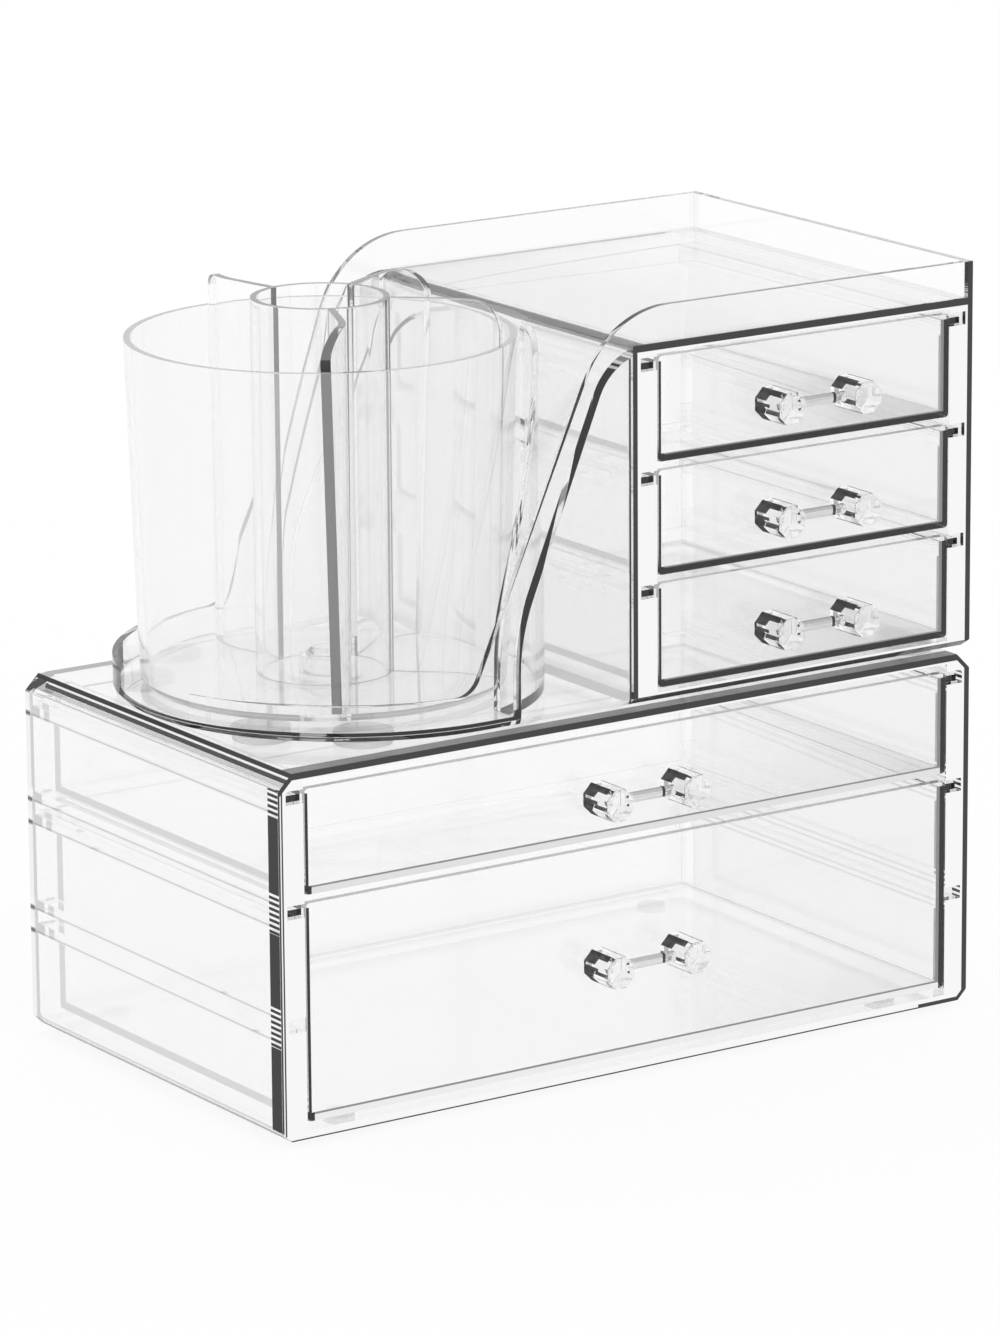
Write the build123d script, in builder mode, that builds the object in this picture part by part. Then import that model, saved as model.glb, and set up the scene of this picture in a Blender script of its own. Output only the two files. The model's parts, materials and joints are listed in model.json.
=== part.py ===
from build123d import *
import math
import os

os.makedirs("parts", exist_ok=True)

# The organiser stands on z = 0, its drawers face -Y, and the origin is under the middle of
# the whole object, handles included.

# ---- cases (mm)
width = 241.2
depth = 138.9
wall = 2.6
fence_wall = 2.2
top_corner_cut = 4.6
bottom_corner_cut = 3.1

# ---- drawer rows and their runners
front_height = 30.7
row_gap = 2.4
lower_rows = 3
upper_rows = 3
upper_end_gap = 1.2
front_thickness = 2.6
front_corner_radius = 1.2
drawer_wall = 2.0
rear_gap = 1.5
side_gap = 0.3
runner_width = 5.7
rib_thickness = 3.1
post_depth = 5.4
flange_drop = 1.9
flange_thickness = 2.0
flange_gap = 0.3

# ---- dumbbell handles, a little below the middle of the drawer fronts
handle_spacing = 27.0
handle_drop = 2.6
post_sides = 8
post_corner_radius = 5.1
post_length = 12.6
post_edge_cut = 0.6
bar_radius = 1.6
bar_standoff = 6.2
peg_width = 3.6
press_gap = 0.05

# ---- feet and pads
foot_radius = 4.5
foot_height = 2.0
foot_inset_x = 25.0
foot_inset_y = 10.0
pad_radius = 8.5
pad_height = 2.0
pad_inset = 14.0
pad_edge_gap = 0.95
pad_ring_angles = (148, 120, -148, -120)

# ---- upper case: cabinet, roof tray and round tray
well_gap = 4.1
fence_height = 10.9
rim_height = 10.6
upper_bottom_cut = 1.8
horn_lead = 19.7
shoulder_run = 10.4
shoulder_knee_height = 25.6
shoulder_radius = 20.0
knee_radius = 60.0
fence_foot_lead = 5.2
fence_radius = 31.0
fence_foot_radius = 8.0

# ---- turning brush cup
cup_foot_gap = 4.5
cup_lift = 0.8
cup_foot_radius = 53.3
cup_rim_radius = 56.3
cup_height = 100.8
cup_wall = 2.0
cup_corner_cut = 1.5
boss_radius = 11.0
hub_radius = 7.5
hub_height = 5.0

# ---- pivot pin of the cup
pin_radius = 4.0
pin_gap = 0.08
pin_foot_radius = 8.0
pin_foot_height = 1.2
pin_head_radius = 5.6
pin_head_height = 2.2

# ---- brush divider
tube_radius = 20.0
tube_wall = 1.9
divider_height = 109.7
fin_thickness = 2.3
fin_count = 4
fin_first_angle = -113.0
fin_pitch = 71.5
fin_bend_start = 35.5
fin_bend_radius = 24.6
fin_bend_angle = 60.0
fin_corner_radius = 9.0
divider_gap = 0.3

# ---- heights and places that follow from the sizes above
row_pitch = front_height + row_gap
lower_base = foot_height
lower_first_front = lower_base + wall + row_gap
lower_height = 2 * wall + lower_rows * row_pitch + row_gap
lower_top = lower_base + lower_height

upper_base = lower_top + pad_height
upper_floor = upper_base + wall
upper_first_front = upper_floor + upper_end_gap
upper_roof = upper_first_front + upper_rows * row_pitch - row_gap + upper_end_gap
upper_top = upper_roof + wall
fence_top = upper_top + fence_height
rim_top = upper_base + rim_height
shoulder_knee = upper_base + shoulder_knee_height

case_y = post_length / 2
front_y = case_y - depth / 2
side_inner = width / 2 - wall
drawer_length = depth - wall - rear_gap
tray_radius = depth / 2
tray_x = -width / 2 + tray_radius
pad_ring_radius = tray_radius - pad_radius - pad_edge_gap
cup_x = -width / 2 + fence_wall + cup_foot_gap + cup_foot_radius
well_radius = cup_rim_radius + well_gap
bay_left = cup_x + well_radius + wall
horn_left = cup_x + horn_lead
shoulder_corner_x = bay_left - shoulder_run
fence_foot_x = cup_x + fence_foot_lead
cup_floor = upper_floor + cup_lift + cup_wall
cup_rim = upper_floor + cup_lift + cup_height

front_plane = Plane.XZ.offset(-front_y)
cup_axis = Axis((cup_x, case_y, 0), (0, 0, 1))
cup_plane = Plane(origin=(cup_x, case_y, 0), x_dir=(1, 0, 0), z_dir=(0, -1, 0))


def finish(builder, name):
    """Label a finished piece and write it to its own file."""
    builder.part.label = name
    export_step(builder.part, "parts/" + name + ".step")


def channel(front_base):
    """Lowest and highest point of the runner channel beside a one-row front."""
    front_top = front_base + front_height
    return front_top - flange_drop - flange_thickness, front_top


def add_runners(wall_x, inward, first_front, rows, floor_z, roof_z):
    """Front post and guide ribs on a side wall; inward is the way to the drawers."""
    middle_x = wall_x + inward * runner_width / 2
    channels = [channel(first_front + row * row_pitch) for row in range(rows)]
    with BuildSketch(front_plane) as post:
        with Locations((middle_x, (floor_z + roof_z) / 2)):
            Rectangle(runner_width, roof_z - floor_z)
        for low, high in channels:
            with Locations((middle_x, (low + high) / 2)):
                Rectangle(runner_width, high - low, mode=Mode.SUBTRACT)
    extrude(post.sketch, amount=-post_depth)
    with BuildSketch(front_plane) as ribs:
        for low, high in channels:
            with Locations(
                (middle_x, low - rib_thickness / 2),
                (middle_x, high + rib_thickness / 2),
            ):
                Rectangle(runner_width, rib_thickness)
    extrude(ribs.sketch, amount=-(depth - wall / 2))


# ---- lower case: a chamfered tube closed at the back
with BuildPart() as lower_case:
    with BuildSketch(front_plane, mode=Mode.PRIVATE) as case_outline:
        with Locations((0, lower_base + lower_height / 2)):
            Rectangle(width, lower_height)
        corners = case_outline.vertices().group_by(Axis.Y)
        chamfer(corners[-1], length=top_corner_cut)
        corners = case_outline.vertices().group_by(Axis.Y)
        chamfer(corners[0], length=bottom_corner_cut)
    with BuildSketch(front_plane, mode=Mode.PRIVATE) as case_hollow:
        add(case_outline.sketch_local)
        offset(amount=-wall, kind=Kind.INTERSECTION, mode=Mode.REPLACE)
    extrude(case_outline.sketch, amount=-depth)
    extrude(case_hollow.sketch, amount=-(depth - wall), mode=Mode.SUBTRACT)
    for side in (-1, 1):
        add_runners(
            side * side_inner,
            -side,
            lower_first_front,
            lower_rows,
            lower_base + wall,
            lower_top - wall,
        )
    extrude(case_outline.sketch, amount=-depth, mode=Mode.INTERSECT)
finish(lower_case, "lower_case")

with BuildPart() as lower_feet:
    with BuildSketch(Plane.XY):
        with Locations((0, case_y)):
            with GridLocations(width - 2 * foot_inset_x, depth - 2 * foot_inset_y, 2, 2):
                Circle(foot_radius)
    extrude(amount=foot_height)
finish(lower_feet, "lower_feet")


# ---- upper case: one moulding
# Side profile of the cabinet: roof, swept shoulder and the upright ends of the horns.
with BuildPart() as cabinet_block:
    with BuildSketch(front_plane) as cabinet_profile:
        with BuildLine():
            FilletPolyline(
                (width / 2, upper_base),
                (width / 2, upper_top),
                (shoulder_corner_x, upper_top),
                (horn_left, shoulder_knee),
                (horn_left, upper_base),
                radius=(0, 0, shoulder_radius, knee_radius, 0),
                close=True,
            )
        make_face()
    extrude(amount=-depth)

# The hollow inside the two horns, between the outer panels and the round well wall.
with BuildPart() as horn_hollow:
    with BuildSketch(front_plane.offset(-fence_wall)):
        add(cabinet_profile.sketch_local)
        offset(amount=-wall, kind=Kind.INTERSECTION, mode=Mode.REPLACE)
        with Locations(((horn_left + bay_left) / 2, upper_base)):
            Rectangle(bay_left - horn_left - 2 * wall, 3 * wall)
        with Locations((bay_left - wall, upper_base)):
            Rectangle(width, upper_top, align=(Align.MIN, Align.CENTER), mode=Mode.SUBTRACT)
    extrude(amount=-(depth - 2 * fence_wall))
    with BuildSketch(Plane.XY.offset(upper_base - 2 * wall)):
        with Locations((cup_x, case_y)):
            Circle(well_radius + wall)
    extrude(amount=upper_top - upper_base + 2 * wall, mode=Mode.SUBTRACT)

# Everything above the fence line: level over the cabinet, falling to the tray rim.
with BuildPart() as above_fence:
    with BuildSketch(front_plane):
        with BuildLine():
            FilletPolyline(
                (width, fence_top),
                (shoulder_corner_x, fence_top),
                (fence_foot_x, rim_top),
                (-width, rim_top),
                (-width, fence_top + rim_height),
                (width, fence_top + rim_height),
                radius=(0, fence_radius, fence_foot_radius, 0, 0, 0),
                close=True,
            )
        make_face()
    extrude(amount=-depth)

with BuildPart() as upper_case:
    with BuildSketch(Plane.XY.offset(upper_base)) as plan:
        with Locations((tray_x, case_y)):
            Circle(tray_radius)
            Rectangle(width / 2 - tray_x, depth, align=(Align.MIN, Align.CENTER))
    extrude(amount=fence_top - upper_base)
    with BuildSketch(Plane.XY.offset(upper_floor)):
        add(plan.sketch_local)
        offset(amount=-fence_wall, kind=Kind.INTERSECTION, mode=Mode.REPLACE)
    extrude(amount=fence_top - upper_floor, mode=Mode.SUBTRACT)
    add(above_fence.part, mode=Mode.SUBTRACT)
    add(cabinet_block.part)
    extrude(plan.sketch, amount=fence_top - upper_base, mode=Mode.INTERSECT)
    chamfer(upper_case.faces().sort_by(Axis.Z)[0].outer_wire().edges(), length=upper_bottom_cut)
    # round well beside the cabinet
    with BuildSketch(Plane.XY.offset(upper_floor)):
        with Locations((cup_x, case_y)):
            Circle(well_radius)
    extrude(amount=upper_top - upper_floor, mode=Mode.SUBTRACT)
    add(horn_hollow.part, mode=Mode.SUBTRACT)
    # drawer bay, open to the front
    with BuildSketch(front_plane):
        with Locations(((bay_left + side_inner) / 2, (upper_floor + upper_roof) / 2)):
            Rectangle(side_inner - bay_left, upper_roof - upper_floor)
    extrude(amount=-(depth - wall), mode=Mode.SUBTRACT)
    for wall_x, inward in ((bay_left, 1), (side_inner, -1)):
        add_runners(wall_x, inward, upper_first_front, upper_rows, upper_floor, upper_roof)
    # raised boss that the cup turns on, and the hole for its pin
    with BuildSketch(Plane.XY.offset(upper_floor)):
        with Locations((cup_x, case_y)):
            Circle(boss_radius)
    extrude(amount=cup_lift)
    with BuildSketch(Plane.XY.offset(upper_base)):
        with Locations((cup_x, case_y)):
            Circle(pin_radius + pin_gap)
    extrude(amount=wall + cup_lift, mode=Mode.SUBTRACT)
finish(upper_case, "upper_case")

with BuildPart() as upper_stacking_pads:
    with BuildSketch(Plane.XY.offset(lower_top)):
        for angle in pad_ring_angles:
            turn = math.radians(angle)
            pad_x = tray_x + pad_ring_radius * math.cos(turn)
            pad_y = case_y + pad_ring_radius * math.sin(turn)
            with Locations((pad_x, pad_y)):
                Circle(pad_radius)
        with Locations((width / 2 - pad_inset, case_y)):
            with GridLocations(pad_inset, depth - 2 * pad_inset, 1, 2):
                Circle(pad_radius)
    extrude(amount=pad_height)
finish(upper_stacking_pads, "upper_stacking_pads")


# ---- drawers: open boxes with a flush front, hung in the channels by side flanges
def handle_places(left_wall, right_wall, front_base, rows):
    """Centres of the two handle posts on a drawer front."""
    middle_x = (left_wall + right_wall) / 2
    middle_z = front_base + (rows * row_pitch - row_gap) / 2 - handle_drop
    return [(middle_x + side * handle_spacing / 2, middle_z) for side in (-1, 1)]


def make_drawer(name, left_wall, right_wall, front_base, rows):
    """One drawer between two case walls, as many rows high as stated."""
    left_x = left_wall + runner_width + side_gap
    right_x = right_wall - runner_width - side_gap
    middle_x = (left_x + right_x) / 2
    drawer_width = right_x - left_x
    drawer_height = rows * row_pitch - row_gap
    side_top = front_base + drawer_height - flange_drop
    box_length = drawer_length - front_thickness
    box_y = front_y + front_thickness + box_length / 2
    with BuildPart() as drawer:
        with BuildSketch(front_plane):
            with Locations((middle_x, front_base + drawer_height / 2)):
                RectangleRounded(drawer_width, drawer_height, front_corner_radius)
        extrude(amount=-front_thickness)
        with BuildSketch(Plane.XY.offset(front_base)):
            with Locations((middle_x, box_y)):
                Rectangle(drawer_width, box_length)
        extrude(amount=side_top - front_base)
        with BuildSketch(Plane.XY.offset(side_top)):
            with Locations((middle_x, box_y)):
                Rectangle(
                    right_wall - left_wall - 2 * flange_gap,
                    box_length,
                )
        extrude(amount=-flange_thickness)
        with BuildSketch(Plane.XY.offset(front_base + drawer_wall)):
            with Locations((middle_x, front_y + front_thickness)):
                Rectangle(
                    drawer_width - 2 * drawer_wall,
                    box_length - drawer_wall,
                    align=(Align.CENTER, Align.MIN),
                )
        extrude(amount=drawer_height, mode=Mode.SUBTRACT)
        with BuildSketch(front_plane):
            with Locations(*handle_places(left_wall, right_wall, front_base, rows)):
                Rectangle(peg_width + 2 * press_gap, peg_width + 2 * press_gap)
        extrude(amount=-front_thickness, mode=Mode.SUBTRACT)
    finish(drawer, name)


def make_handle(name, left_wall, right_wall, front_base, rows):
    """Two many-sided posts with square pegs through the front, joined by a round bar."""
    places = handle_places(left_wall, right_wall, front_base, rows)
    middle_x = (places[0][0] + places[1][0]) / 2
    middle_z = places[0][1]
    with BuildPart() as handle:
        with BuildSketch(front_plane):
            with Locations(*places):
                RegularPolygon(post_corner_radius, post_sides, rotation=180 / post_sides)
        extrude(amount=post_length)
        chamfer(handle.faces().group_by(Axis.Y)[0].edges(), length=post_edge_cut)
        with BuildSketch(front_plane):
            with Locations(*places):
                Rectangle(peg_width, peg_width)
        extrude(amount=-front_thickness)
        with BuildSketch(Plane.YZ.offset(middle_x)):
            with Locations((front_y - bar_standoff, middle_z)):
                Circle(bar_radius)
        extrude(amount=handle_spacing / 2, both=True)
    finish(handle, name)


lower_second_front = lower_first_front + (lower_rows - 1) * row_pitch
drawer_rows = [
    ("lower_shallow", -side_inner, side_inner, lower_second_front, 1),
    ("lower_deep", -side_inner, side_inner, lower_first_front, lower_rows - 1),
]
for name, left_wall, right_wall, front_base, rows in drawer_rows:
    make_drawer(name + "_drawer", left_wall, right_wall, front_base, rows)
    make_handle(name + "_handle", left_wall, right_wall, front_base, rows)

for row, place in enumerate(("bottom", "middle", "top")):
    front_base = upper_first_front + row * row_pitch
    make_drawer("upper_drawer_" + place, bay_left, side_inner, front_base, 1)
    make_handle("upper_handle_" + place, bay_left, side_inner, front_base, 1)


# ---- brush cup: a tapered round wall on a flat floor with a bored hub
with BuildPart() as brush_cup:
    with BuildSketch(cup_plane) as cup_section:
        with BuildLine():
            Polyline(
                (pin_radius + pin_gap, cup_floor - cup_wall),
                (cup_foot_radius, cup_floor - cup_wall),
                (cup_rim_radius, cup_rim),
                (cup_rim_radius - cup_wall, cup_rim),
                (cup_foot_radius - cup_wall, cup_floor),
                (hub_radius, cup_floor),
                (hub_radius, cup_floor + hub_height),
                (pin_radius + pin_gap, cup_floor + hub_height),
                close=True,
            )
        make_face()
        foot_corner = cup_section.vertices().group_by(Axis.Y)[0].sort_by(Axis.X)[-1]
        chamfer(foot_corner, cup_corner_cut)
    revolve(axis=cup_axis)
finish(brush_cup, "brush_cup")

# ---- brush divider: a centre tube with hooked fins that stop short of the cup wall
divider_top = cup_floor + divider_height
with BuildPart() as brush_divider:
    for fin in range(fin_count):
        turn = math.radians(fin_first_angle + fin * fin_pitch)
        out = Vector(math.cos(turn), math.sin(turn))
        with BuildSketch(Plane.XY.offset(cup_floor)):
            with BuildLine():
                straight = Line(
                    Vector(cup_x, case_y) + out * tube_radius,
                    Vector(cup_x, case_y) + out * fin_bend_start,
                )
                JernArc(straight @ 1, straight % 1, fin_bend_radius, -fin_bend_angle)
                offset(amount=fin_thickness / 2, side=Side.BOTH, closed=True)
            make_face()
        extrude(amount=divider_height)
    with BuildSketch(cup_plane):
        with BuildLine():
            FilletPolyline(
                (0, divider_top),
                (0, cup_floor),
                (cup_foot_radius - cup_wall - divider_gap, cup_floor),
                (cup_rim_radius - cup_wall - divider_gap, divider_top),
                radius=(0, 0, 0, fin_corner_radius),
                close=True,
            )
        make_face()
    revolve(axis=cup_axis, mode=Mode.INTERSECT)
    with BuildSketch(Plane.XY.offset(cup_floor)):
        with Locations((cup_x, case_y)):
            Circle(tube_radius)
    extrude(amount=divider_height)
    with BuildSketch(Plane.XY.offset(cup_floor)):
        with Locations((cup_x, case_y)):
            Circle(tube_radius - tube_wall)
    extrude(amount=divider_height, mode=Mode.SUBTRACT)
finish(brush_divider, "brush_divider")

# ---- pivot pin: flange below the tray, shank through tray and hub, snap head on top
hub_top = cup_floor + hub_height
with BuildPart() as cup_pivot_pin:
    with BuildSketch(cup_plane):
        with BuildLine():
            Polyline(
                (0, upper_base - pin_foot_height),
                (pin_foot_radius, upper_base - pin_foot_height),
                (pin_foot_radius, upper_base),
                (pin_radius, upper_base),
                (pin_radius, hub_top),
                (pin_head_radius, hub_top),
                (pin_radius - pin_gap, hub_top + pin_head_height),
                (0, hub_top + pin_head_height),
                close=True,
            )
        make_face()
    revolve(axis=cup_axis)
finish(cup_pivot_pin, "cup_pivot_pin")
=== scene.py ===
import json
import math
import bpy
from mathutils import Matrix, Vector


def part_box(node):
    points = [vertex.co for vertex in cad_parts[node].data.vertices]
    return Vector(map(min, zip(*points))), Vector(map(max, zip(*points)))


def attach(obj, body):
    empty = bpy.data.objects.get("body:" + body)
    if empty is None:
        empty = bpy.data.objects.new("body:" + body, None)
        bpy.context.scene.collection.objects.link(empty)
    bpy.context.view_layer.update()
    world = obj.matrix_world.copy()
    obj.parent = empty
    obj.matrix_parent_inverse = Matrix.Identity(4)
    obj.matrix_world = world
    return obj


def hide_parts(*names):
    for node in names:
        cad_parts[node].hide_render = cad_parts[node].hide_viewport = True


bl_info = {
    "name": "Clear Vanity Organiser",
    "version": (1, 0, 0),
    "blender": (4, 5, 0),
    "location": "View3D > Sidebar > Organiser",
    "description": "Finishes a clear stacking brush holder with drawers and sets its studio",
    "category": "Object",
}

import bpy
from mathutils import Matrix, Vector

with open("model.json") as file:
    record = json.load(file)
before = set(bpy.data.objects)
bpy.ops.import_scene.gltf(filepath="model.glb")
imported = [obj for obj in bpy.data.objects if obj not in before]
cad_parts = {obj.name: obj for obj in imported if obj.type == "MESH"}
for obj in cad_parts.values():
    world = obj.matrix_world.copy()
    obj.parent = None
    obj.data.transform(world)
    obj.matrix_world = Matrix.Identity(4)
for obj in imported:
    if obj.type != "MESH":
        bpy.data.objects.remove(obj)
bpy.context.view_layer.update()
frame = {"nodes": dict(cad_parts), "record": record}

MM = 0.001
WHITE = (1.0, 1.0, 1.0, 1.0)

# ------------------------------------------------------------------ grain of the materials
FLOW_DETAIL = 1.0
MARK_DETAIL = 4.0
MARK_CONTRAST = 4.0
GRAIN_DETAIL = 3.0
GRAIN_DEPTH = 0.1
GRAIN_ROUGHNESS = 0.3
# Roughness of the opaque layers of painted light and painted shade
PAINTED_LAYER_ROUGHNESS = 0.4

# ------------------------------------------------------------------ sizes of the pieces
WALL = 2.6 * MM
FENCE_WALL = 2.2 * MM
DRAWER_WALL = 2.0 * MM
FLANGE_REACH = 5.7 * MM
FLANGE_GAP = 0.3 * MM
DRAWER_HEADROOM = 1.2 * MM
TOP_CORNER_CUT = 4.6 * MM
BOTTOM_CORNER_CUT = 3.1 * MM
UPPER_BOTTOM_CUT = 1.8 * MM
FIRST_FRONT_TOP = 35.7 * MM
ROW_PITCH = 33.1 * MM
ROWS = 3
CUP_TAPER = 3.0 * MM
POST_LENGTH = 12.6 * MM
POST_SPACING = 27.0 * MM

# ------------------------------------------------------------------ painted light and shade zones of both cases
SKIN = 0.2 * MM
# Painted shade: where the lower case's left line starts, the width of the upper case's left
# line and the depth of its post band
LEFT_SHADE_LINE_START = 0.9 * MM
UPPER_POST_SHADE_LINE = 1.4 * MM
UPPER_POST_SHADE_DEPTH = 3.2 * MM
# Painted light on the rear ends of the side walls
WALL_END_PAINTED_LIGHT = 0.3

# ------------------------------------------------------------------ painted light and shade zones of the lower case
# Painted shade: streaks under the roof's cut corners, a strip at the roof front, a toe at the
# right foot, lines and marks on the side walls at the rails, and hatched gaps in the post
# bands
SHADE_STREAK_START = 3.6 * MM
SHADE_STREAK_DROP = 2.0 * MM
ROOF_SHADE_STRIP = 5.5 * MM
ROOF_SHADE_STRIP_SHARE = 0.7
TOE_SHADE_LENGTH = 18.0 * MM
TOE_SHADE_HEIGHT = 1.3 * MM
RAIL_RISE = 0.9 * MM
RAIL_DROP = 6.1 * MM
RAIL_SHADE_LINE = 0.3 * MM
RAIL_SHADE_SHARE = 0.3
RAIL_SHADE_MARK = 0.8 * MM
RAIL_SHADE_MARK_SHARE = 0.6
HATCH_RISE = 3.5 * MM
HATCH_DROP = 8.2 * MM
HATCH_STEP = 1.65 * MM
HATCH_DARK_PART = 0.55

# ------------------------------------------------------------------ painted light and shade zones of the upper case
# Painted light on the roof keeps TRAY_MARGIN from the front and left; the LEDGE and FOOT
# zones are painted shade
TRAY_MARGIN = 8.0 * MM
LEDGE_OUT = 1.0 * MM
LEDGE_IN = 4.6 * MM
LEDGE_DROP = 1.2 * MM
LEDGE_SHADE_SHARE = 0.6
FOOT_SHADE_SHARE = 0.7

# ------------------------------------------------------------------ painted light and shade zones of the small pieces
# How much painted light lies on the end of a drawer's floor. The painted shade FACET and ARM
# ranges run along a handle's post, as shares of its length from the front.
BASE_PAINTED_LIGHT = {"lower_deep_drawer": 0.9, "lower_shallow_drawer": 0.8}
# The cup keeps a window clear of its painted light at TIP_X, in front of the fin's painted
# dark tip
TIP_X = -19.9 * MM
TIP_WINDOW = 4.0 * MM
# Painted shade on a handle: its dark facets, arms and grey bar
FACET_START = 4.6 * MM
FACET_END = 5.3 * MM
FACET_SHADE_SHARE = 0.95
UPPER_FACET = (0.55, 0.98)
UPPER_ARM = (0.2, 0.56)
UPPER_ARM_HEIGHT = 3.3 * MM
FLAT_FACET = (0.6, 0.98)
FLAT_ARM = (0.42, 0.61)
FLAT_TOP = 1.0 * MM
LOWER_FACET = (0.66, 0.98)
BAR_REACH = POST_SPACING / 2 - FACET_END
BAR_SHADE_SHARE = 0.12
BAR_TOP = 0.7 * MM
BAR_TOP_SHADE_SHARE = 0.25

# ------------------------------------------------------------------ rounding of the meshes
WELD = 1e-6
FLAT_ANGLE = math.radians(0.3)
CURVE_ANGLE = math.radians(15)
SHARP_ANGLE = math.radians(30)
EDGE_STEPS = 2
AIR_GAP = 0.04 * MM

# ------------------------------------------------------------------ picture and light paths
PICTURE_HEIGHT = 1333
CAMERA_REACH = 50.0
PLATE_BOUNCES = 32
GLOSSY_BOUNCES = 4
DIFFUSE_BOUNCES = 2

DRAWERS = [node for node in sorted(frame["nodes"]) if "drawer" in node]
HANDLES = [node for node in sorted(frame["nodes"]) if "handle" in node]


# ------------------------------------------------------------------ shader maths
class Value:
    """A shader socket that takes part in Python arithmetic."""

    def __init__(self, paint, socket):
        self.paint = paint
        self.socket = socket

    def _math(self, operation, *inputs):
        settings = {"operation": operation}
        node = self.paint.node("ShaderNodeMath", settings, *inputs)
        return Value(self.paint, node.outputs[0])

    def __add__(self, other):
        return self._math("ADD", self, other)

    def __sub__(self, other):
        return self._math("SUBTRACT", self, other)

    def __mul__(self, other):
        return self._math("MULTIPLY", self, other)

    def __rsub__(self, other):
        return self._math("SUBTRACT", other, self)

    __radd__ = __add__
    __rmul__ = __mul__

    def above(self, limit):
        return self._math("GREATER_THAN", self, limit)

    def below(self, limit):
        return self._math("LESS_THAN", self, limit)

    def between(self, low, high):
        return self.above(low) * self.below(high)

    def power(self, exponent):
        return self._math("POWER", self, exponent)

    def fraction(self):
        return self._math("FRACT", self)


def distance(across, along):
    """The distance of a point from an axis that it is across and along away from."""
    return (across.power(2.0) + along.power(2.0)).power(0.5)


class Paint:
    """One material under construction."""

    def __init__(self, name):
        self.material = bpy.data.materials.new(name)
        self.material.use_nodes = True
        self.tree = self.material.node_tree
        self.tree.nodes.clear()

    def node(self, kind, settings=None, *inputs, **named):
        """Make a node, set its settings first, then the values or links of its sockets."""
        made = self.tree.nodes.new(kind)
        for key, value in (settings or {}).items():
            setattr(made, key, value)
        pairs = list(enumerate(inputs)) + [
            (key.replace("_", " "), value) for key, value in named.items()
        ]
        for key, value in pairs:
            if isinstance(value, Value):
                self.tree.links.new(value.socket, made.inputs[key])
            else:
                made.inputs[key].default_value = value
        return made

    def value(self, node, output=0):
        return Value(self, node.outputs[output])

    def place(self):
        """The x, y and z of a point of the piece, in metres."""
        coordinates = self.value(self.node("ShaderNodeTexCoord"), "Object")
        split = self.node("ShaderNodeSeparateXYZ", None, coordinates)
        return [self.value(split, axis) for axis in range(3)]

    def noise(self, scale, detail):
        """Fine noise that is fixed to the piece."""
        coordinates = self.value(self.node("ShaderNodeTexCoord"), "Object")
        noise = self.node(
            "ShaderNodeTexNoise", None, Vector=coordinates, Scale=scale, Detail=detail
        )
        return self.value(noise, "Fac")

    def over(self, shader, colour, glow, share):
        """An opaque layer laid on a shader that paints light (pale, with emission) and shade
        (dark), where share says how much of it shows.
        """
        finish = self.node(
            "ShaderNodeBsdfPrincipled",
            None,
            Base_Color=(colour, colour, colour, 1.0),
            Roughness=PAINTED_LAYER_ROUGHNESS,
            Specular_IOR_Level=0.0,
            Emission_Color=WHITE,
            Emission_Strength=glow,
        )
        mixed = self.node("ShaderNodeMixShader", None, Fac=share)
        self.tree.links.new(shader.outputs[0], mixed.inputs[1])
        self.tree.links.new(finish.outputs[0], mixed.inputs[2])
        return mixed

    def finish(self, shader):
        output = self.tree.nodes.new("ShaderNodeOutputMaterial")
        self.tree.links.new(shader.outputs[0], output.inputs["Surface"])
        return self.material


def clear_plastic(name, look, zones):
    """Polished clear acrylic with a faint flow waviness, hairline polish marks and a faint
    painted light from emission at every face.

    zones takes a point's x, y and z, and gives how much opaque painted light and painted
    shade lie on the acrylic there.
    """
    paint = Paint(name)
    flow = paint.noise(look.flow_scale, FLOW_DETAIL)
    marks = paint.noise(look.mark_scale, MARK_DETAIL)
    roughness = marks.power(MARK_CONTRAST) * look.mark_depth + look.roughness
    bump = paint.node(
        "ShaderNodeBump", None, Strength=look.flow_strength, Distance=MM, Height=flow
    )
    shader = paint.node(
        "ShaderNodeBsdfPrincipled",
        None,
        Base_Color=(*look.tint, 1.0),
        Roughness=roughness,
        IOR=look.ior,
        Transmission_Weight=1.0,
        # Painted light: a faint emission at every face lightens the clear acrylic
        Emission_Color=WHITE,
        Emission_Strength=look.glow,
        Normal=paint.value(bump),
    )
    # Painted light and painted shade, laid on the acrylic by where a point is
    pale, dark = zones(*paint.place())
    shader = paint.over(shader, look.pale_colour, look.pale_glow, pale)
    shader = paint.over(shader, look.dark_colour, 0.0, dark)
    return paint.finish(shader)


def soft_rubber(name, look):
    """Water-clear silicone with a fine matt grain."""
    paint = Paint(name)
    grain = paint.noise(look.grain_scale, GRAIN_DETAIL)
    bump = paint.node("ShaderNodeBump", None, Strength=GRAIN_DEPTH, Distance=MM, Height=grain)
    shader = paint.node(
        "ShaderNodeBsdfPrincipled",
        None,
        Base_Color=(*look.rubber, 1.0),
        Roughness=grain * GRAIN_ROUGHNESS + GRAIN_ROUGHNESS,
        Alpha=look.rubber_cover,
        Normal=paint.value(bump),
    )
    return paint.finish(shader)


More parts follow.
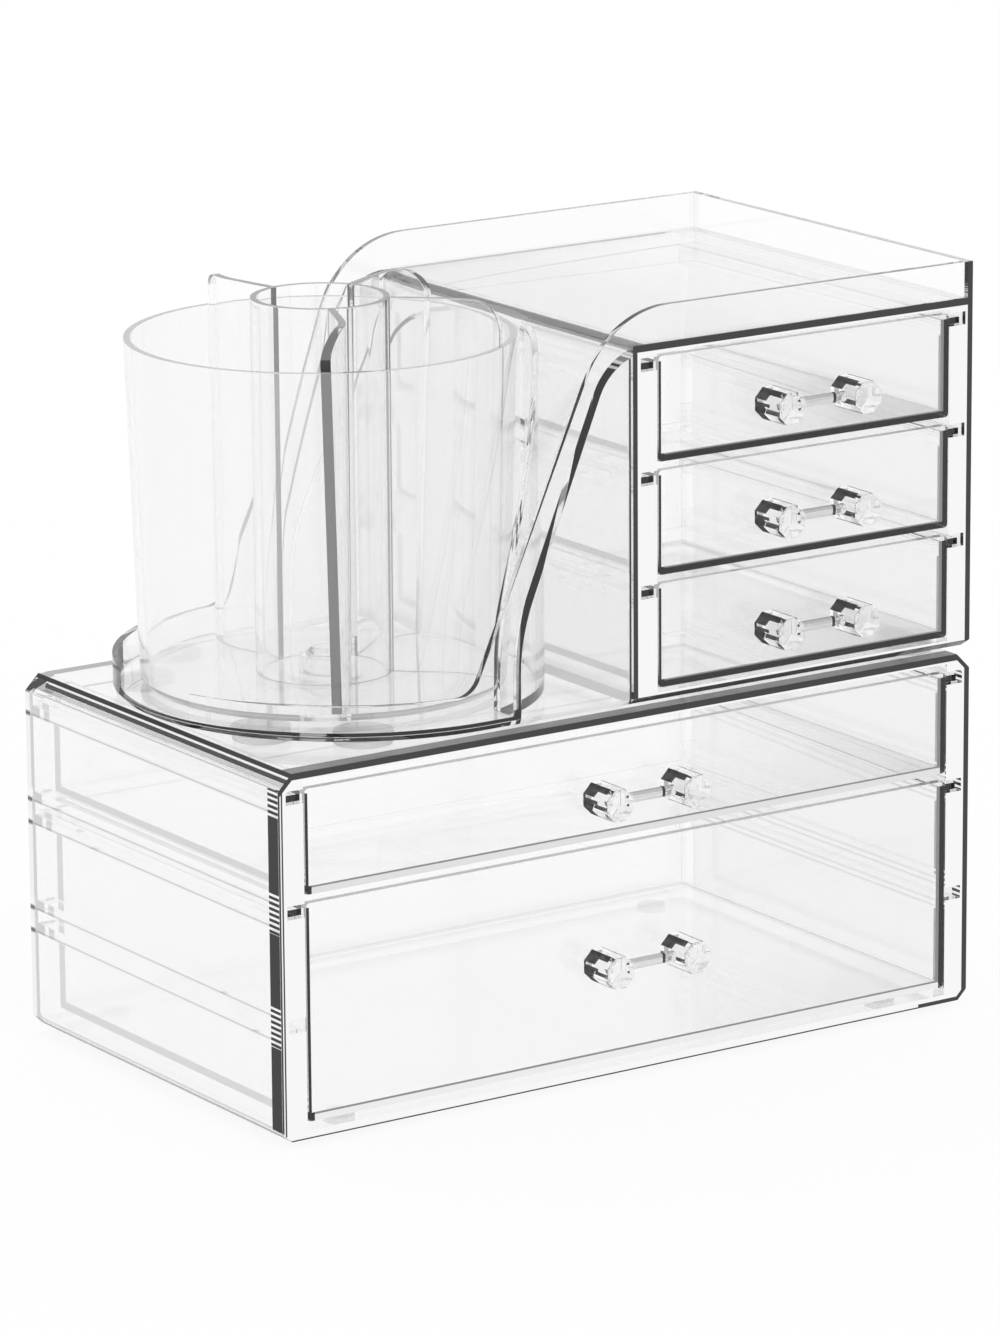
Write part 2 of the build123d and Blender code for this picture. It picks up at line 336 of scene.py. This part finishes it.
# ------------------------------------------------------------------ user settings
class OrganiserLook(bpy.types.PropertyGroup):
    tint: bpy.props.FloatVectorProperty(
        name="Acrylic tint",
        description="Colour that white light keeps on its way through one plate",
        subtype="COLOR",
        size=3,
        default=(0.99, 0.99, 0.99),
        min=0.0,
        max=1.0,
    )
    ior: bpy.props.FloatProperty(
        name="Refractive index",
        description="How strongly the acrylic bends light",
        default=1.49,
        min=1.0,
        max=2.0,
    )
    roughness: bpy.props.FloatProperty(
        name="Polish",
        description="Roughness of a freshly polished face",
        default=0.0,
        min=0.0,
        max=1.0,
    )
    flow_scale: bpy.props.FloatProperty(
        name="Flow scale",
        description="How many waves of moulding flow a metre of plate shows",
        default=18.0,
    )
    flow_strength: bpy.props.FloatProperty(
        name="Flow strength",
        description="Depth of the moulding waves",
        default=0.01,
    )
    mark_scale: bpy.props.FloatProperty(
        name="Mark scale",
        description="How many polish marks a metre of plate shows",
        default=900.0,
    )
    mark_depth: bpy.props.FloatProperty(
        name="Mark depth",
        description="Roughness that the polish marks add",
        default=0.02,
    )
    # Painted light: emission that lightens every face of the clear acrylic
    glow: bpy.props.FloatProperty(
        name="Inner haze",
        description="Light that the acrylic scatters back at each face",
        default=0.002,
    )
    edge: bpy.props.FloatProperty(
        name="Edge rounding",
        description="Width of the rounding along moulded edges",
        default=0.00015,
        unit="LENGTH",
        precision=5,
    )
    # Painted light: brightness of the opaque pale layer on plate ends and pale faces
    pale_colour: bpy.props.FloatProperty(
        name="Pale parts",
        description="Brightness of plate ends and of milky faces",
        default=0.2,
    )
    # Painted light: emission of the opaque pale layer
    pale_glow: bpy.props.FloatProperty(
        name="Pale part light",
        description="Light that comes out of plate ends and of milky faces",
        default=0.73,
    )
    # Painted shade: brightness of the opaque dark layer on lines where a plate hides the
    # light
    dark_colour: bpy.props.FloatProperty(
        name="Dark lines",
        description="Brightness of the lines where a plate hides the light behind it",
        default=0.07,
    )
    # Painted shade: width of the dark line painted round the front of a case
    rim: bpy.props.FloatProperty(
        name="Rim line",
        description="Width of the dark line round the front of a case",
        default=0.0019,
        unit="LENGTH",
        precision=5,
    )
    # Painted shade: width of the dark line painted along the foot of a case
    base_rim: bpy.props.FloatProperty(
        name="Base line",
        description="Width of the dark line along the foot of a case",
        default=0.0005,
        unit="LENGTH",
        precision=5,
    )
    # Painted shade: depth of the dark band painted on a side wall behind a front post
    band: bpy.props.FloatProperty(
        name="Post band",
        description="Depth of the dark band that a front post makes in a side wall",
        default=0.0056,
        unit="LENGTH",
        precision=5,
    )
    # Painted light: share of the pale emissive layer on the side walls
    side_haze: bpy.props.FloatProperty(
        name="Side haze",
        description="How milky the side walls are",
        subtype="FACTOR",
        default=0.65,
    )
    # Painted light: share of the pale emissive layer on the back panel
    back_haze: bpy.props.FloatProperty(
        name="Back haze",
        description="How milky the back panel is",
        subtype="FACTOR",
        default=0.05,
    )
    # Painted light: share of the pale emissive layer on the top faces of the cases
    roof_haze: bpy.props.FloatProperty(
        name="Roof haze",
        description="How milky the top faces of the cases are",
        subtype="FACTOR",
        default=0.35,
    )
    # Painted light: share of the pale emissive layer on the drawer fronts
    front_haze: bpy.props.FloatProperty(
        name="Front haze",
        description="How milky the drawer fronts are",
        subtype="FACTOR",
        default=0.25,
    )
    # Painted shade: width of the dark line painted at the tip of the front fin
    fin_line: bpy.props.FloatProperty(
        name="Fin line",
        description="Width of the dark line at the tip of the front fin",
        default=0.0028,
        unit="LENGTH",
        precision=5,
    )
    # Painted light: share of the pale emissive layer on the divider
    fin_haze: bpy.props.FloatProperty(
        name="Fin haze",
        description="How milky the divider is",
        subtype="FACTOR",
        default=0.03,
    )
    # Painted light: share of the pale emissive layer on the cup wall
    cup_haze: bpy.props.FloatProperty(
        name="Cup haze",
        description="How milky the wall of the cup is",
        subtype="FACTOR",
        default=0.1,
    )
    rubber: bpy.props.FloatVectorProperty(
        name="Pad colour",
        description="Colour of the feet and stacking pads",
        subtype="COLOR",
        size=3,
        default=(0.85, 0.86, 0.87),
    )
    rubber_cover: bpy.props.FloatProperty(
        name="Pad cover",
        description="How much of the light the pads stop",
        subtype="FACTOR",
        default=0.35,
    )
    grain_scale: bpy.props.FloatProperty(
        name="Pad grain",
        description="How many grains a metre of rubber shows",
        default=1500.0,
    )


class OrganiserStage(bpy.types.PropertyGroup):
    room_light: bpy.props.FloatProperty(
        name="Room light",
        description="Brightness of the even white surround",
        default=1.0,
    )
    floor_colour: bpy.props.FloatVectorProperty(
        name="Floor colour",
        description="Colour of the floor under the organiser, on top of its own light",
        subtype="COLOR",
        size=3,
        default=(0.12, 0.12, 0.12),
    )
    floor_light: bpy.props.FloatProperty(
        name="Floor light",
        description="Light that the pale table gives from below",
        default=0.88,
    )
    floor_size: bpy.props.FloatProperty(
        name="Floor size",
        description="Side of the square floor",
        default=12.0,
        unit="LENGTH",
    )
    camera_azimuth: bpy.props.FloatProperty(
        name="Camera azimuth",
        description="Turn of the view to the right of straight back",
        default=math.radians(33.87),
        subtype="ANGLE",
    )
    camera_elevation: bpy.props.FloatProperty(
        name="Camera elevation",
        description="Height of the view above level",
        default=math.radians(14.33),
        subtype="ANGLE",
    )
    camera_roll: bpy.props.FloatProperty(
        name="Camera roll",
        description="Tilt of the picture about its middle",
        default=math.radians(-0.42),
        subtype="ANGLE",
    )
    camera_distance: bpy.props.FloatProperty(
        name="Camera distance",
        description="From the camera to the point it looks at",
        default=2.0394,
        unit="LENGTH",
    )
    camera_aim: bpy.props.FloatVectorProperty(
        name="Camera aim",
        description="Point that the camera looks at",
        subtype="TRANSLATION",
        size=3,
        default=(0.0003, 0.0063, 0.10788),
    )
    focal_pixels: bpy.props.FloatProperty(
        name="Focal length in picture pixels",
        description="Focal length for a picture 1000 wide and 1333 high",
        default=6940.7,
    )


def look_of(context):
    return context.scene.organiser_look


def stage_of(context):
    return context.scene.organiser_stage


# ------------------------------------------------------------------ pieces
def body_of(node):
    """The body that carries a node of the frame."""
    bodies = frame["record"]["behaviour"]["bodies"]
    return next(body for body, nodes in bodies.items() if node in nodes)


def moulded(context, node, material, edge):
    """A copy of a node with its edges rounded, which stands for the node."""
    bpy.ops.object.select_all(action="DESELECT")
    piece = bpy.data.objects.new("moulded_" + node, frame["nodes"][node].data.copy())
    context.collection.objects.link(piece)
    context.view_layer.objects.active = piece
    piece.select_set(True)
    bpy.ops.mesh.customdata_custom_splitnormals_clear()
    bpy.ops.object.mode_set(mode="EDIT")
    bpy.ops.mesh.select_all(action="SELECT")
    bpy.ops.mesh.remove_doubles(threshold=WELD)
    bpy.ops.mesh.dissolve_limited(angle_limit=FLAT_ANGLE)
    bpy.ops.mesh.select_all(action="SELECT")
    bpy.ops.transform.shrink_fatten(value=-AIR_GAP)
    bpy.ops.object.mode_set(mode="OBJECT")
    bpy.ops.object.shade_smooth_by_angle(angle=CURVE_ANGLE)
    rounding = piece.modifiers.new("rounding", "BEVEL")
    rounding.width = edge
    rounding.segments = EDGE_STEPS
    rounding.limit_method = "ANGLE"
    rounding.angle_limit = SHARP_ANGLE
    rounding.use_clamp_overlap = False
    rounding.harden_normals = True
    bpy.ops.object.modifier_apply(modifier=rounding.name)
    piece.data.materials.clear()
    piece.data.materials.append(material)
    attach(piece, body_of(node))
    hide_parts(node)
    return piece


# ------------------------------------------------------------------ painted light and shade zones of the acrylic
def case_front(low, high, lines, x, y, z):
    """The front of a case from low to high, and what of it lies inside its painted shade
    lines.

    lines gives the widths of the painted shade lines at the left, at the right, below and
    above.
    """
    left, right, bottom, top = lines
    front = y.below(low.y + SKIN) * x.above(low.x - SKIN) * z.below(high.z + SKIN)
    across = (x - low.x).above(left) * (high.x - x).above(right)
    return front, across * (z - low.z).above(bottom) * (high.z - z).above(top)


def case_sides(look, low, high, band, x, y):
    """Where the side walls of a case are: all of them, and the bands of painted shade behind
    their posts.
    """
    sides = (x - low.x).between(-SKIN, SKIN) + (high.x - x).between(-SKIN, SKIN)
    return sides, sides * (y - low.y).between(EDGE_STEPS * look.edge, band)


def lower_case_zones(look):
    """Painted light and shade of the lower case: painted light on its front, sides and roof,
    and painted shade in post bands, rib lines, a roof strip and a right toe.
    """
    low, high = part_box("lower_case")
    lines = (look.base_rim, look.rim, look.base_rim, look.rim)
    top_cut = TOP_CORNER_CUT + look.rim
    bottom_cut = BOTTOM_CORNER_CUT + look.rim
    front_tops = [low.z + FIRST_FRONT_TOP + row * ROW_PITCH for row in range(ROWS)]
    rail_heights = [top + rise for top in front_tops for rise in (RAIL_RISE, -RAIL_DROP)]

    def zones(x, y, z):
        # Painted light on the front face inside its lines, painted shade on the lines and the
        # cut corners
        front, inner = case_front(low, high, lines, x, y, z)
        inner = inner * (x - low.x + high.z - z).above(top_cut)
        inner = inner * (high.x - x + high.z - z).above(top_cut)
        inner = inner * (high.x - x + z - low.z).above(bottom_cut)
        # Painted shade: a dark line near the left edge and a dark toe at the right foot
        left_line = (x - low.x).between(LEFT_SHADE_LINE_START, LEFT_SHADE_LINE_START + look.base_rim)
        toe = (high.x - x).below(TOE_SHADE_LENGTH) * (z - low.z).below(TOE_SHADE_HEIGHT)
        inner = inner * (1.0 - left_line) * (1.0 - toe)
        # Painted shade bands behind the posts, painted light on the sides and their rear ends
        sides, bands = case_sides(look, low, high, look.band, x, y)
        ends = sides * y.above(high.y - WALL)
        # Painted shade: dark streaks under the roof's cut corners, a dark strip at the roof's
        # front
        streaks = z.above(high.z - SHADE_STREAK_DROP) * (
            (x - low.x).between(SHADE_STREAK_START, TOP_CORNER_CUT)
            + (high.x - x).between(SHADE_STREAK_START, TOP_CORNER_CUT)
        )
        roof = z.above(high.z - SKIN)
        strip = roof * y.below(low.y + ROOF_SHADE_STRIP)
        # Painted shade: lines along the side walls at the rail heights, darker marks near the
        # back
        rails = sum((z - rail).between(-RAIL_SHADE_LINE, RAIL_SHADE_LINE) for rail in rail_heights)
        marks = sum((z - rail).between(-RAIL_SHADE_MARK, RAIL_SHADE_MARK) for rail in rail_heights)
        marks = marks * y.above(high.y - WALL)
        # Hatched gaps cut into the painted shade bands
        hatch = sum((z - top).between(-HATCH_DROP, HATCH_RISE) for top in front_tops)
        gaps = hatch * (z * (1 / HATCH_STEP)).fraction().above(HATCH_DARK_PART)
        # Painted light, then painted shade
        pale = front * inner + sides * look.side_haze + ends * WALL_END_PAINTED_LIGHT
        pale = pale + roof * look.roof_haze
        dark = bands * (1.0 - gaps) + sides * (rails * RAIL_SHADE_SHARE + marks * RAIL_SHADE_MARK_SHARE)
        dark = dark + streaks + strip * ROOF_SHADE_STRIP_SHARE + front * (1.0 - inner)
        return pale, dark

    return zones


def upper_case_zones(look):
    """Painted light and shade of the cabinet: painted light on its front, sides, roof, back
    and the part of the round wall that it shares, and painted shade in its lines and bands.
    """
    low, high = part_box("upper_case")
    drawer_low, drawer_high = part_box("upper_drawer_top")
    cup_low, cup_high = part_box("brush_cup")
    cup = (cup_low + cup_high) / 2
    low.x = drawer_low.x - FLANGE_GAP - WALL
    high.z = drawer_high.z + DRAWER_HEADROOM + WALL
    well_radius = low.x - cup.x
    lines = (UPPER_POST_SHADE_LINE, look.rim, look.rim, look.rim)

    def zones(x, y, z):
        # Painted light on the front face inside its lines, painted shade on the lines
        front, inner = case_front(low, high, lines, x, y, z)
        # Painted shade: a dark line down the right upright of the fence
        upright = y.below(low.y + SKIN) * x.above(high.x - look.rim) * z.above(high.z)
        # Painted shade: a dark foot at the front of the cabinet
        foot = z.below(low.z + UPPER_BOTTOM_CUT) * x.above(low.x)
        foot = foot * y.below(low.y + UPPER_BOTTOM_CUT + SKIN)
        # Painted shade bands behind the posts, painted light on the sides below the roof
        sides, bands = case_sides(look, low, high, UPPER_POST_SHADE_DEPTH, x, y)
        below_roof = z.below(high.z - WALL)
        # Painted shade: a dark band along the roof's left edge
        ledge = (x - low.x).between(-LEDGE_OUT, LEDGE_IN)
        ledge = ledge * (z - high.z).between(-LEDGE_DROP, SKIN)
        ledge = ledge * y.between(low.y + FENCE_WALL, high.y - FENCE_WALL)
        # Painted light on the roof, the back panel and the round wall by the cup
        roof = (z - high.z).between(-SKIN, SKIN)
        roof = roof * x.above(low.x + TRAY_MARGIN) * y.above(low.y + TRAY_MARGIN)
        back = y.above(high.y - FENCE_WALL)
        middle = (y - cup.y).between(-well_radius / 4, well_radius / 2) * x.above(cup.x)
        ring = distance(x - cup.x, y - cup.y)
        ring = ring.between(well_radius - SKIN, well_radius + WALL + SKIN) * middle
        # Painted light, then painted shade
        pale = front * inner + sides * below_roof * look.side_haze
        pale = pale + roof * look.roof_haze + back * look.back_haze + ring * look.side_haze
        dark = bands * below_roof + front * (1.0 - inner) + upright
        dark = dark + ledge * LEDGE_SHADE_SHARE + foot * FOOT_SHADE_SHARE
        return pale, dark

    return zones


def drawer_zones(look, node):
    """Painted light on the front pane, and under it painted light on the end of the drawer's
    floor.
    """
    low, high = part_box(node)
    side = FLANGE_REACH + DRAWER_WALL
    base_light_share = BASE_PAINTED_LIGHT.get(node, 0.0)

    def zones(x, y, z):
        # Painted light on the front pane, and on the end of the floor under it
        front = y.below(low.y + SKIN) * (x - low.x).above(side) * (high.x - x).above(side)
        pane = front * (z - low.z).above(DRAWER_WALL) * look.front_haze
        base = front * (z - low.z).below(DRAWER_WALL) * base_light_share
        return pane + base, 0.0

    return zones


def handle_zones(node):
    """Painted shade on the facets of the two posts, and a grey bar of painted shade between
    them.
    """
    low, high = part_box(node)
    middle = (low + high) / 2
    slope = math.sqrt(0.5)

    def zones(x, y, z):
        # Painted shade on chosen facets of both posts and a grey bar between them
        second = x.above(middle.x)
        first = 1.0 - second
        out = second * POST_SPACING - (x - middle.x) - POST_SPACING / 2
        up = z - middle.z
        back = (y - low.y) * (1 / POST_LENGTH)
        flat = out.between(FACET_START, FACET_END)
        upper = ((out + up) * slope).between(FACET_START, FACET_END)
        lower = ((out - up) * slope).between(FACET_START, FACET_END)
        arm = up.above(UPPER_ARM_HEIGHT) * back.between(*UPPER_ARM)
        dark = upper * (back.between(*UPPER_FACET) + arm)
        dark = dark + first * flat * back.between(*FLAT_FACET) * up.below(FLAT_TOP)
        dark = dark + first * flat * back.between(*FLAT_ARM) * up.between(0.0, FLAT_TOP)
        dark = dark + first * lower * back.between(*LOWER_FACET)
        bar = (x - middle.x).between(-BAR_REACH, BAR_REACH)
        bar = bar * (BAR_SHADE_SHARE + up.above(BAR_TOP) * BAR_TOP_SHADE_SHARE)
        return 0.0, dark * FACET_SHADE_SHARE + bar

    return zones


def cup_zones(look):
    """Painted light on the cup, with a window kept clear of it in front of the painted dark
    tip of the front fin.
    """
    low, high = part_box("brush_cup")
    middle = (low + high) / 2

    def zones(x, y, z):
        # Painted light on the cup wall, except a window in front of the fin's painted dark
        # tip
        window = (x - middle.x - TIP_X).between(-TIP_WINDOW, TIP_WINDOW) * y.below(middle.y)
        return (1.0 - window) * look.cup_haze, 0.0

    return zones


def divider_zones(look):
    """Faint painted light on the divider, and painted shade on the tip of the fin that stands
    at the front left, which follows the cup's taper.
    """
    low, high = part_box("brush_cup")
    middle = (low + high) / 2
    reach = (high.x - low.x) / 2 - CUP_TAPER - look.fin_line
    taper = CUP_TAPER / (high.z - low.z)

    def zones(x, y, z):
        # Painted light on the divider, painted shade on the fin's tip
        radius = distance(x - middle.x, y - middle.y)
        tip = (radius - (z - low.z) * taper).above(reach)
        return look.fin_haze, tip * x.below(middle.x) * y.below(middle.y)

    return zones


# ------------------------------------------------------------------ operators
class ORGANISER_OT_lower_case(bpy.types.Operator):
    """Finish the wide lower case"""

    bl_idname = "organiser.lower_case"
    bl_label = "Lower case"

    def execute(self, context):
        look = look_of(context)
        acrylic = clear_plastic("lower_case_acrylic", look, lower_case_zones(look))
        moulded(context, "lower_case", acrylic, look.edge)
        return {"FINISHED"}


class ORGANISER_OT_upper_case(bpy.types.Operator):
    """Finish the upper case with its fence and round tray"""

    bl_idname = "organiser.upper_case"
    bl_label = "Upper case"

    def execute(self, context):
        look = look_of(context)
        acrylic = clear_plastic("upper_case_acrylic", look, upper_case_zones(look))
        moulded(context, "upper_case", acrylic, look.edge)
        return {"FINISHED"}


class ORGANISER_OT_drawers(bpy.types.Operator):
    """Finish the five drawers"""

    bl_idname = "organiser.drawers"
    bl_label = "Drawers"

    def execute(self, context):
        look = look_of(context)
        for node in DRAWERS:
            acrylic = clear_plastic(node + "_acrylic", look, drawer_zones(look, node))
            moulded(context, node, acrylic, look.edge)
        return {"FINISHED"}


class ORGANISER_OT_handles(bpy.types.Operator):
    """Finish the five cut handles"""

    bl_idname = "organiser.handles"
    bl_label = "Handles"

    def execute(self, context):
        look = look_of(context)
        for node in HANDLES:
            acrylic = clear_plastic(node + "_acrylic", look, handle_zones(node))
            moulded(context, node, acrylic, look.edge)
        return {"FINISHED"}


class ORGANISER_OT_brush_cup(bpy.types.Operator):
    """Finish the turning cup, its divider and its pin"""

    bl_idname = "organiser.brush_cup"
    bl_label = "Brush cup"

    def execute(self, context):
        look = look_of(context)
        milky = clear_plastic("cup_acrylic", look, cup_zones(look))
        moulded(context, "brush_cup", milky, look.edge)
        clear = clear_plastic("divider_acrylic", look, divider_zones(look))
        for node in ("brush_divider", "cup_pivot_pin"):
            moulded(context, node, clear, look.edge)
        return {"FINISHED"}


class ORGANISER_OT_pads(bpy.types.Operator):
    """Finish the feet and the stacking pads"""

    bl_idname = "organiser.pads"
    bl_label = "Feet and pads"

    def execute(self, context):
        look = look_of(context)
        rubber = soft_rubber("clear_silicone", look)
        for node in ("lower_feet", "upper_stacking_pads"):
            moulded(context, node, rubber, look.edge)
        return {"FINISHED"}


class ORGANISER_OT_stage(bpy.types.Operator):
    """Set the pale floor, the even studio light and the camera"""

    bl_idname = "organiser.stage"
    bl_label = "Studio"

    def execute(self, context):
        stage = stage_of(context)
        scene = context.scene
        world = bpy.data.worlds.new("even_surround")
        scene.world = world
        world.use_nodes = True
        background = world.node_tree.nodes["Background"]
        background.inputs["Color"].default_value = WHITE
        background.inputs["Strength"].default_value = stage.room_light
        bpy.ops.mesh.primitive_plane_add(size=stage.floor_size, location=(0, 0, 0))
        floor = context.active_object
        floor.name = "floor"
        paint = Paint("pale_floor")
        shader = paint.node(
            "ShaderNodeBsdfPrincipled",
            None,
            Base_Color=(*stage.floor_colour, 1.0),
            Roughness=1.0,
            Specular_IOR_Level=0.0,
            Emission_Color=WHITE,
            Emission_Strength=stage.floor_light,
        )
        floor.data.materials.append(paint.finish(shader))
        azimuth, elevation = stage.camera_azimuth, stage.camera_elevation
        ahead = Vector((
            math.sin(azimuth) * math.cos(elevation),
            math.cos(azimuth) * math.cos(elevation),
            -math.sin(elevation),
        ))
        bpy.ops.object.camera_add()
        camera = context.active_object
        camera.name = "camera"
        camera.location = Vector(stage.camera_aim) - ahead * stage.camera_distance
        upright = ahead.to_track_quat("-Z", "Y").to_matrix().to_4x4()
        rolled = upright @ Matrix.Rotation(stage.camera_roll, 4, "Z")
        camera.rotation_euler = rolled.to_euler()
        camera.data.sensor_fit = "AUTO"
        camera.data.lens = stage.focal_pixels * camera.data.sensor_width / PICTURE_HEIGHT
        camera.data.clip_end = CAMERA_REACH
        scene.camera = camera
        scene.view_settings.view_transform = "Standard"
        scene.cycles.max_bounces = PLATE_BOUNCES
        scene.cycles.transmission_bounces = PLATE_BOUNCES
        scene.cycles.glossy_bounces = GLOSSY_BOUNCES
        scene.cycles.diffuse_bounces = DIFFUSE_BOUNCES
        return {"FINISHED"}


# ------------------------------------------------------------------ panel and registration
class ORGANISER_PT_panel(bpy.types.Panel):
    bl_label = "Organiser"
    bl_idname = "ORGANISER_PT_panel"
    bl_space_type = "VIEW_3D"
    bl_region_type = "UI"
    bl_category = "Organiser"

    def draw(self, context):
        for group in (look_of(context), stage_of(context)):
            for name in group.__annotations__:
                self.layout.prop(group, name)
        for operator in OPERATORS:
            self.layout.operator(operator.bl_idname)


OPERATORS = (
    ORGANISER_OT_lower_case,
    ORGANISER_OT_upper_case,
    ORGANISER_OT_drawers,
    ORGANISER_OT_handles,
    ORGANISER_OT_brush_cup,
    ORGANISER_OT_pads,
    ORGANISER_OT_stage,
)
CLASSES = (OrganiserLook, OrganiserStage, *OPERATORS, ORGANISER_PT_panel)


def register():
    for cls in CLASSES:
        bpy.utils.register_class(cls)
    bpy.types.Scene.organiser_look = bpy.props.PointerProperty(type=OrganiserLook)
    bpy.types.Scene.organiser_stage = bpy.props.PointerProperty(type=OrganiserStage)


def unregister():
    del bpy.types.Scene.organiser_stage
    del bpy.types.Scene.organiser_look
    for cls in reversed(CLASSES):
        bpy.utils.unregister_class(cls)


def main():
    register()
    bpy.ops.organiser.lower_case()
    bpy.ops.organiser.upper_case()
    bpy.ops.organiser.drawers()
    bpy.ops.organiser.handles()
    bpy.ops.organiser.brush_cup()
    bpy.ops.organiser.pads()
    bpy.ops.organiser.stage()


if __name__ == "__main__":
    main()
